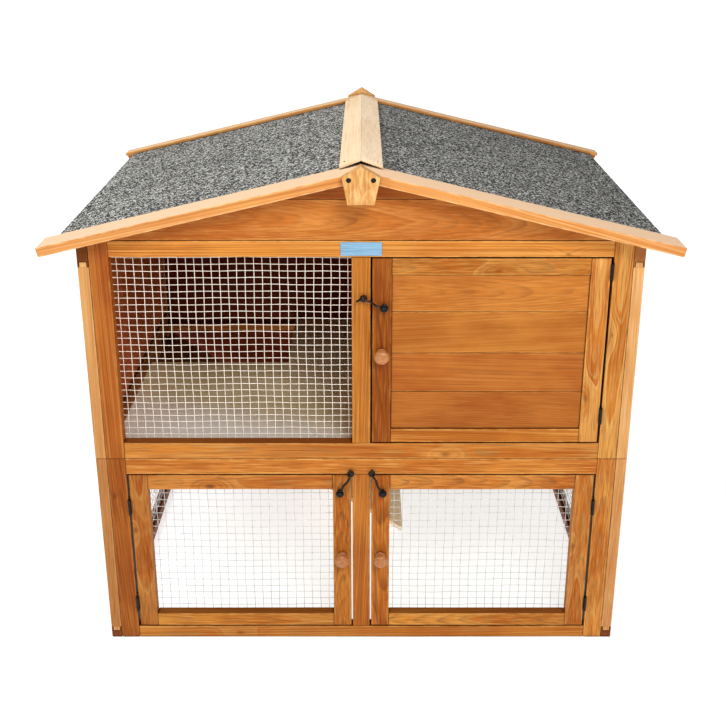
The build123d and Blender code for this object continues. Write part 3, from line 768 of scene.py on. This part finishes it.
# ---------------- back walls and gables
def build_back_walls():
    for storey, rail in (("upper", 0.027), ("lower", 0.022)):
        low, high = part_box(f"{storey}_back_frame")
        timber = Timber(tone=(0.97, 0.0)).ring_frame(low, high, side_stile, rail)
        timber.piece(f"{storey}_back_timber", stained, f"{storey}_back_frame")
        low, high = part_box(f"{storey}_back_boards")
        middle = (low.y + high.y) / 2
        # The back boards' inner faces are painted dark as the shade inside the hutch; their outer faces
        # are repainted to 0.84 below.
        boards = Timber(tone=(0.30, -0.02)).stack(low, high, 0, 5)
        boards.repaint(lambda points: points[:, 1] > middle, 0.84, 0.02)
        boards.piece(f"{storey}_back_planks", stained_boards, f"{storey}_back_boards")


def build_gable(end):
    """A tapering board over the frame and a triangle above it."""
    low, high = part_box(f"{end}_gable_boards")
    slope = math.tan(roof_pitch)
    joint = low.z + gable_board_rise
    half = high.x
    peak = (high.z - joint) / slope
    depth = high.y - low.y

    def lower_taper(along, u, v):
        reach = half - np.clip(v - 0.001, 0, 1) / slope
        return half + (along - half) * reach / half, u, v

    def upper_taper(along, u, v):
        reach = np.clip((high.z - joint - v) / slope, 0.0015, 1)
        return peak + (along - peak) * reach / peak, u, v

    timber = Timber(tone=(0.94, -0.002), spread=0.02)
    # The upper board is painted darker, partly as the shade under the roof's overhang.
    for rise, bottom, reach, taper, figure in (
            (joint - low.z, low.z, half, lower_taper, {"paleness": 0.15, "value": 0.92, "flame": 0.25}),
            (high.z - joint, joint, peak, upper_taper, {"knot": (-0.13, 0.012, 0.006), "value": 0.64})):
        timber.member(rectangle(depth, rise), 2 * reach, (-reach, low.y, bottom), (X, Y, Z), bend=taper,
                      **figure)
    timber.piece(f"{end}_gable_timber", stained_boards, f"{end}_gable_boards")


# ---------------- floor and partition
def build_inside():
    carved("floor_deck", sheet_finish, 0, grained=False)
    carved("partition_wall", inside_boards, 2)
    low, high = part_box("deck_bearers")
    timber = Timber(tone=(0.9, 0.0))
    timber.beam(low, (high.x, low.y + bearer_width, high.z), 0)
    timber.beam((low.x, high.y - bearer_width, low.z), high, 0)
    timber.piece("deck_bearer_timber", stained, "deck_bearers")


# ---------------- roof
def slope_axes(side):
    """Along the slope away from the ridge, to the back, and square to the roof downwards."""
    down = np.array([side * math.cos(roof_pitch), 0, -math.sin(roof_pitch)])
    into = np.array([-side * math.sin(roof_pitch), 0, -math.cos(roof_pitch)])
    return [down, Y, into]


def ridge_mitre(length):
    """The boards of the two slopes meet on the middle plane."""
    def bend(along, u, v):
        return along + (1 - along / length) * v * math.tan(roof_pitch), u, v
    return bend


ridge_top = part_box("front_trims")[1].z
roof_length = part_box("front_trims")[1].x / math.cos(roof_pitch)


def build_trims(end):
    low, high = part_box(f"{end}_trims")
    depth = high.y - low.y
    thin = trim_flange_depth
    if end == "front":
        outline = [(0, 0), (depth, 0), (depth, thin), (trim_lip, thin), (trim_lip, roof_depth),
                   (0, roof_depth)]
    else:
        lip = depth - trim_lip
        outline = [(0, 0), (depth, 0), (depth, roof_depth), (lip, roof_depth), (lip, thin), (0, thin)]
    timber = Timber(tone=(0.96 if end == "front" else 0.84, 0.0), spread=0.02)
    for side in (-1, 1):
        timber.member(outline, roof_length, (0, low.y, ridge_top), slope_axes(side),
                      bend=ridge_mitre(roof_length), paleness=0.4)
    timber.piece(f"{end}_trim_timber", trim_timber, f"{end}_trims")


def slope_sheet(sheet, node, side, top, bottom, name, material):
    """A board or sheet that fills its node on one slope, from top to bottom under the roof's surface."""
    low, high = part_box(node)
    length = (high.x if side > 0 else -low.x) / math.cos(roof_pitch)
    outline = rectangle(high.y - low.y, bottom, top)
    sheet.member(outline, length, (0, low.y, ridge_top), slope_axes(side), bend=ridge_mitre(length))
    sheet.piece(name, material, node)


def build_roof_sides():
    felt_bottom = trim_flange_depth + felt_thickness
    # The felt's tone is painted light: the left slope lighter than the right one.
    for side, name, light in ((-1, "left", 0.90), (1, "right", 0.74)):
        slope_sheet(Timber(bevel=0.0006), f"roof_panel_{name}", side, felt_bottom, roof_depth,
                    f"roof_panel_{name}_timber", roof_timber)
        slope_sheet(Timber(bevel=0.0004, tone=(light, 0.0), spread=0.0), f"roof_felt_{name}", side,
                    trim_flange_depth, felt_bottom, f"roof_felt_{name}_sheet", felt_finish)


def build_ridge():
    """Two cap boards that dip to the back, with two nails in each, and the end blocks."""
    low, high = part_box("ridge_cap")
    width = high.x
    length = high.y - low.y
    pitch = math.radians(21)
    thickness = 0.005
    nail_radius = 0.0013
    nail_offset = 0.026
    rise = thickness / math.cos(pitch)
    peak = width * math.tan(pitch)
    dip = math.atan2(high.z - low.z - peak - rise, length)
    axes = np.array([(0, -math.cos(dip), math.sin(dip)), X, (0, math.sin(dip), math.cos(dip))])
    nails = Wires()
    for side, name, tone in ((-1, "left", (1.0, 0.0)), (1, "right", (1.1, -0.006))):
        outline = [(0, peak), (width, 0), (width, rise), (0, peak + rise)]
        if side < 0:
            outline = [(-u, v) for u, v in reversed(outline)]
        cap = Timber(bevel=0.0007, tone=tone, spread=0.01, flat=0.0001)
        cap.member(outline, length / math.cos(dip), (0, high.y, low.z), axes, paleness=0.5)
        out = np.array([side * math.cos(pitch), -math.sin(pitch)])
        lift = np.array([side * math.sin(pitch), math.cos(pitch)])
        for along in (0.011, length - 0.013):
            stray = side * draws.uniform(-0.0012, 0.0012)
            head = np.array([0, peak + rise]) + out * nail_offset + stray
            spots = [(along, *(head + lift * level)) for level in (-0.001, 0.0003, 0.0005)]
            nails.tube(np.array([0, high.y, low.z]) + np.array(spots) @ axes, nail_radius, 12)
        cap.piece(f"ridge_cap_{name}", pale_timber, "ridge_cap")
    nails.piece("ridge_cap_nails", nail_finish, "ridge_cap")
    carved("ridge_block_front", block_timber, 2, bevel=0.0012, tone=(0.85, 0.0))
    carved("ridge_block_rear", block_timber, 2, bevel=0.0012, tone=(0.9, 0.0))


# ---------------- doors
def build_doors():
    """Each door's left stile, right stile, bottom rail and top rail: how light each is and its flame."""
    doors = {"upper_door": ((0.56, 0.0), (0.88, 1.0), (0.95, 0.0), (0.76, 0.6)),
             "lower_left_door": ((0.64, 0.8), (0.77, 0.2), (0.92, 0.3), (0.80, 0.5)),
             "lower_right_door": ((0.82, 0.0), (0.78, 0.8), (0.96, 0.3), (0.88, 0.3))}
    for door, looks in doors.items():
        low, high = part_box(door + "_frame")
        left, right = low.x + door_stile, high.x - door_stile
        members = [((low.x, low.y, low.z), (left, high.y, high.z), 2),
                   ((right, low.y, low.z), (high.x, high.y, high.z), 2),
                   ((left, low.y, low.z), (right, high.y, low.z + door_bottom_rail), 0),
                   ((left, low.y, high.z - door_top_rail), (right, high.y, high.z), 0)]
        timber = Timber(bevel=0.0015)
        for (bottom, top, along), (value, flame) in zip(members, looks):
            knot = None
            if flame > 0.4:
                knot = (draws.uniform(-0.1, 0.1), draws.uniform(0.004, 0.012), 0.004)
            timber.beam(bottom, top, along, value=value, flame=flame, knot=knot, paleness=0.6 * flame)
        timber.piece(door + "_timber", stained, door + "_frame")
    low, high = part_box("upper_door_boards")
    boards = Timber()
    edges = (low.z, *door_board_seams, high.z)
    looks = ((0.70, -0.002), (0.79, -0.002), (0.85, 0.0), (0.87, 0.0))
    for bottom, top, (value, warmth) in zip(edges, edges[1:], looks):
        boards.beam((low.x, low.y, bottom), (high.x, high.y, top), 0, value=value, warmth=warmth)
    for level in door_board_seams:
        boards.seam_tongue(low, high, 0, level)
    boards.piece("upper_door_planks", stained_boards, "upper_door_boards")


def build_knobs():
    """Turned knobs: a foot, a cove and a ball, with a fine bead under the ball."""
    profile = [(0.0086, 0.0), (0.0086, 0.0016), (0.0078, 0.0024), (0.0066, 0.0032), (0.0060, 0.0046),
               (0.0060, 0.0066), (0.0069, 0.0080), (0.0090, 0.0100), (0.0108, 0.0122), (0.0116, 0.0145),
               (0.0112, 0.0170), (0.0098, 0.0190), (0.0074, 0.0207), (0.0040, 0.0217), (0.0, 0.0220)]
    sides = 40
    for door in ("upper_door", "lower_left_door", "lower_right_door"):
        node = door + "_knob"
        low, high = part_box(node)
        x, z = (low.x + high.x) / 2, (low.z + high.z) / 2
        points = []
        for radius, out in profile[:-1]:
            for i in range(sides):
                angle = 2 * math.pi * i / sides
                points.append((x + radius * math.cos(angle), high.y - out, z + radius * math.sin(angle)))
        tip = len(points)
        points.append((x, high.y - profile[-1][1], z))
        faces = ring_faces(0, len(profile) - 1, sides)
        last = tip - sides
        faces += [(last + i, last + (i + 1) % sides, tip) for i in range(sides)]
        faces.append(tuple(range(sides - 1, -1, -1)))
        mesh = new_mesh(node + "_turned", points, faces)
        co = np.array(points) - (x, high.y, z)
        log, tone, far = Timber().grain(co[:, 1], co[:, 0], co[:, 2], None, 0.5, 0.84)
        write_grain(mesh, log, tone, 0 * log, far)
        face_outwards(mesh)
        knob = link(node + "_turned", mesh, turned_timber)
        knob.modifiers.new("smooth", "SUBSURF").render_levels = 1
        stand_for(knob, node)


# ---------------- wire mesh
def wire_mesh(node, across, pitch, finish):
    """Welded mesh: level wires with upright wires welded on their far side, slightly uneven."""
    radius = 0.00053
    drift = 0.0005
    unevenness = 0.0003
    station_step = 0.016
    low, high = (np.array(corner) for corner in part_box(node))
    depth = 1 - across
    middle = (low[depth] + high[depth]) / 2
    waves = draws.uniform(0, 6.28, 6)

    def sag(a, b):
        """In-plane drift of the wires, the same for neighbours."""
        slow = np.sin(a * 23 + waves[0]) + np.sin(b * 31 + waves[1])
        return drift * (slow + 0.7 * np.sin((a + b) * 61 + waves[2]))

    wires = Wires()
    for direction, other, step, side in ((across, 2, pitch[1], -1), (2, across, pitch[0], 1)):
        span = high[other] - low[other]
        number = int(round((span - 0.004) / step))
        first = low[other] + (span - number * step) / 2
        stations = max(6, int((high[direction] - low[direction]) / station_step))
        run = np.linspace(low[direction], high[direction], stations)
        for i in range(number + 1):
            place = np.full(stations, first + i * step + draws.uniform(-unevenness, unevenness))
            path = np.zeros((stations, 3))
            path[:, direction] = run
            path[:, other] = np.clip(place + sag(run, place), low[other] + radius, high[other] - radius)
            path[:, depth] = middle + side * radius * 0.9 + 0.00035 * np.sin(run * 90 + i * 2.4)
            wires.tube(path, radius)
    wires.piece(node + "_wires", finish, node)


def build_meshes():
    run_pitch = (0.0138, 0.0123)
    wire_mesh("front_window_mesh", 0, (0.0126, 0.0107), wire_finish)
    for side in ("left", "right"):
        wire_mesh(f"lower_{side}_door_mesh", 0, run_pitch, dull_wire_finish)
    for side in ("left", "right"):
        wire_mesh(f"lower_{side}_side_mesh", 1, run_pitch, dull_wire_finish)


# ---------------- ramp
def build_ramp():
    """Three planks and eight rungs, darker towards the top, where the deck shades them."""
    low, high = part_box("ramp_board")
    thickness = 0.008
    length = 0.564
    planks = 3
    width = (high.y - low.y) / planks
    down = np.array([math.cos(ramp_angle), 0, -math.sin(ramp_angle)])
    up = np.array([math.sin(ramp_angle), 0, math.cos(ramp_angle)])
    foot = np.array([low.x, 0, high.z - thickness * math.cos(ramp_angle)])
    timber = Timber(bevel=0.001)
    for i in range(planks):
        timber.member(rectangle(width, thickness), length, foot + (low.y + i * width) * Y, (down, Y, up),
                      value=(0.14, 0.2, 0.7, 1.5))
    timber.piece("ramp_planks", pale_timber, "ramp_board")

    low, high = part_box("ramp_rungs")
    rungs = Timber(bevel=0.001)
    rung = 0.006
    rung_rise = 0.005
    pitch = 0.06375
    first = 0.054
    for i in range(8):
        origin = foot + down * (first + i * pitch) + up * thickness + low.y * Y
        rungs.member(rectangle(rung, rung_rise), high.y - low.y, origin, (Y, down, up),
                     value=0.14 + 0.02 * i * i)
    rungs.piece("ramp_rung_strips", pale_timber, "ramp_rungs")


# ---------------- metalwork
hook_wire = 0.0017
hook_loop = 0.0049
eye_ring = 0.0043
eye_wire = 0.0013
eye_stand = 0.0042
latches = (("upper_door", "upper_hook_swing", (0.0035, 0.598), 55),
           ("lower_left_door", "lower_left_hook_swing", (-0.0165, 0.308), 38),
           ("lower_right_door", "lower_right_hook_swing", (0.0165, 0.308), -38))


def arc(centre, radius, start, stop, count):
    """Points in the front plane about a centre, by angle in radians."""
    angles = np.linspace(start, stop, count)
    return np.stack([centre[0] + radius * np.cos(angles), centre[1] + radius * np.sin(angles)], axis=1)


def hook_path(pivot, eye, bend):
    """A loop round the pivot, a slightly cranked shank, and a tail that turns past the eye."""
    tail_radius = 0.0075
    crank_depth = 0.0011
    pivot, eye = np.array(pivot), np.array(eye)
    run = eye - pivot
    length = np.linalg.norm(run)
    aim = math.atan2(run[1], run[0])
    run = run / length
    across = np.array([-run[1], run[0]])
    loop = arc(pivot, hook_loop, aim - 0.45, aim - 2 * math.pi, 22)
    s = np.linspace(hook_loop + 0.002, length - 0.0035, 12)
    crank = crank_depth * np.sin((s - s[0]) / (s[-1] - s[0]) * 2 * math.pi)
    shank = pivot + s[:, None] * run + crank[:, None] * across
    turn = math.radians(bend)
    side = math.copysign(1, turn)
    centre = shank[-1] + run * 0.003 + across * side * tail_radius
    start = aim - side * math.pi / 2
    tail = arc(centre, tail_radius, start, start + turn, 8)
    aim_out = (math.cos(aim + turn), math.sin(aim + turn))
    out = tail[-1] + np.linspace(0.0015, 0.005, 4)[:, None] * aim_out
    return np.concatenate([loop, shank, tail, out])


def build_hooks():
    for door, joint, eye, bend in latches:
        x, y, z = joint_places[joint]
        hook = Wires()
        hook.tube([(a, y, b) for a, b in hook_path((x, z), eye, bend)], hook_wire, 12)
        hook.piece(door + "_hook_wire", hook_finish, door + "_hook")


def build_eyes():
    """Three screw eyes: a ring on a shank with a collar where it enters the timber."""
    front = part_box("upper_front_top_rail")[0].y
    ring_y = front - eye_stand
    collar = 1.7 * eye_wire
    eyes = Wires()
    for _, _, (x, z), _ in latches:
        foot = z - eye_ring
        ring = arc((x, z), eye_ring, 1.4, 1.4 + 2 * math.pi, 26)
        eyes.tube([(a, ring_y, b) for a, b in ring], eye_wire, 10)
        eyes.tube([(x, y, foot) for y in np.linspace(ring_y - 0.0004, front, 5)], eye_wire, 12)
        eyes.tube([(x, y, foot) for y in (front - 0.0009, front - 0.0004, front)], collar, 14)
    eyes.piece("screw_eyes", hook_finish, "latch_eyes")


def keep_cad(material, *nodes):
    """CAD nodes whose shape is right take a better finish."""
    for node in nodes:
        mesh = frame["nodes"][node].data
        mesh.materials.clear()
        mesh.materials.append(material)


def build_metal():
    build_hooks()
    build_eyes()
    keep_cad(hinge_finish, "frame_hinge_leaves", "hinge_pins", "ramp_hinge_leaves", "ridge_screws",
             "upper_door_fittings", "lower_left_door_fittings", "lower_right_door_fittings")


def build_plate():
    low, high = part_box("label_plate")
    plate = Timber(bevel=0.0004, flat=0.0).beam(low, high, 0)
    plate.piece("blank_plate_sheet", plate_finish, "label_plate")


# ---------------- stage
def area_light(name, place, target, size, power):
    light = bpy.data.lights.new(name, "AREA")
    light.shape = "DISK"
    light.size = size
    light.energy = power
    lamp = bpy.data.objects.new(name, light)
    bpy.context.scene.collection.objects.link(lamp)
    lamp.location = place
    lamp.rotation_euler = (Vector(target) - Vector(place)).to_track_quat("-Z", "Y").to_euler()


def build_backdrop(reach):
    """A white dome that closes the view above the floor and neither lights nor shades the hutch."""
    shape = bmesh.new()
    bmesh.ops.create_uvsphere(shape, u_segments=64, v_segments=32, radius=reach)
    below = [vertex for vertex in shape.verts if vertex.co.z < -0.001]
    bmesh.ops.delete(shape, geom=below, context="VERTS")
    mesh = bpy.data.meshes.new("studio_dome")
    shape.to_mesh(mesh)
    shape.free()
    s = Shader("studio_dome")
    haze = s.noise(s.place(), 0.05, detail=1.0)
    paper = s.mix(haze, rgb(252, 252, 252), rgb(255, 255, 255))
    glow = {"Emission_Color": paper, "Emission_Strength": 1.0, "Specular_IOR_Level": 0.0}
    dome = link("studio_dome", mesh, s.finish(rgb(0, 0, 0), 1.0, **glow))
    for ray in ("diffuse", "glossy", "transmission", "volume_scatter", "shadow"):
        setattr(dome, "visible_" + ray, False)


def build_stage():
    reach = 30.0
    build_backdrop(0.99 * reach)
    corners = [(-reach, -reach, 0), (reach, -reach, 0), (reach, reach, 0), (-reach, reach, 0)]
    link("studio_floor", new_mesh("studio_floor", corners, [(0, 1, 2, 3)]), studio_floor())

    world = bpy.data.worlds.new("studio")
    bpy.context.scene.world = world
    world.use_nodes = True
    sky = world.node_tree.nodes["Background"].inputs
    sky["Color"].default_value = (1, 1, 1, 1)
    sky["Strength"].default_value = 0.32
    area_light("key", (0.5, -2.2, 2.2), (0, 0, 0.4), 1.0, 40)
    area_light("fill", (-1.6, -2.4, 1.4), (0, 0, 0.4), 1.6, 10)
    area_light("top", (-1.7, 0.2, 2.7), (0, 0, 0.6), 1.4, 44)
    bpy.context.scene.view_settings.view_transform = "Standard"


def build_camera():
    """A standing viewer's camera. Its optical axis passes above the middle of the picture."""
    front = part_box("upper_front_top_rail")[0].y
    sensor = 36.0
    lens = 54.14
    pitch = math.radians(20.34)
    distance = 1.5091
    height = 1.1397
    data = bpy.data.cameras.new("camera")
    data.sensor_width = sensor
    data.lens = lens
    data.shift_y = -0.0744
    camera = bpy.data.objects.new("camera", data)
    bpy.context.scene.collection.objects.link(camera)
    camera.location = (0.0027, front - distance, height)
    camera.rotation_euler = (math.pi / 2 - pitch, 0, 0)
    bpy.context.scene.camera = camera


build_camera()
build_stage()
build_front_frames()
for wall in ("left", "right"):
    build_side_wall(wall)
build_back_walls()
for gable in ("front", "rear"):
    build_gable(gable)
build_inside()
build_trims("front")
build_trims("rear")
build_roof_sides()
build_ridge()
build_doors()
build_knobs()
build_meshes()
build_ramp()
build_metal()
build_plate()
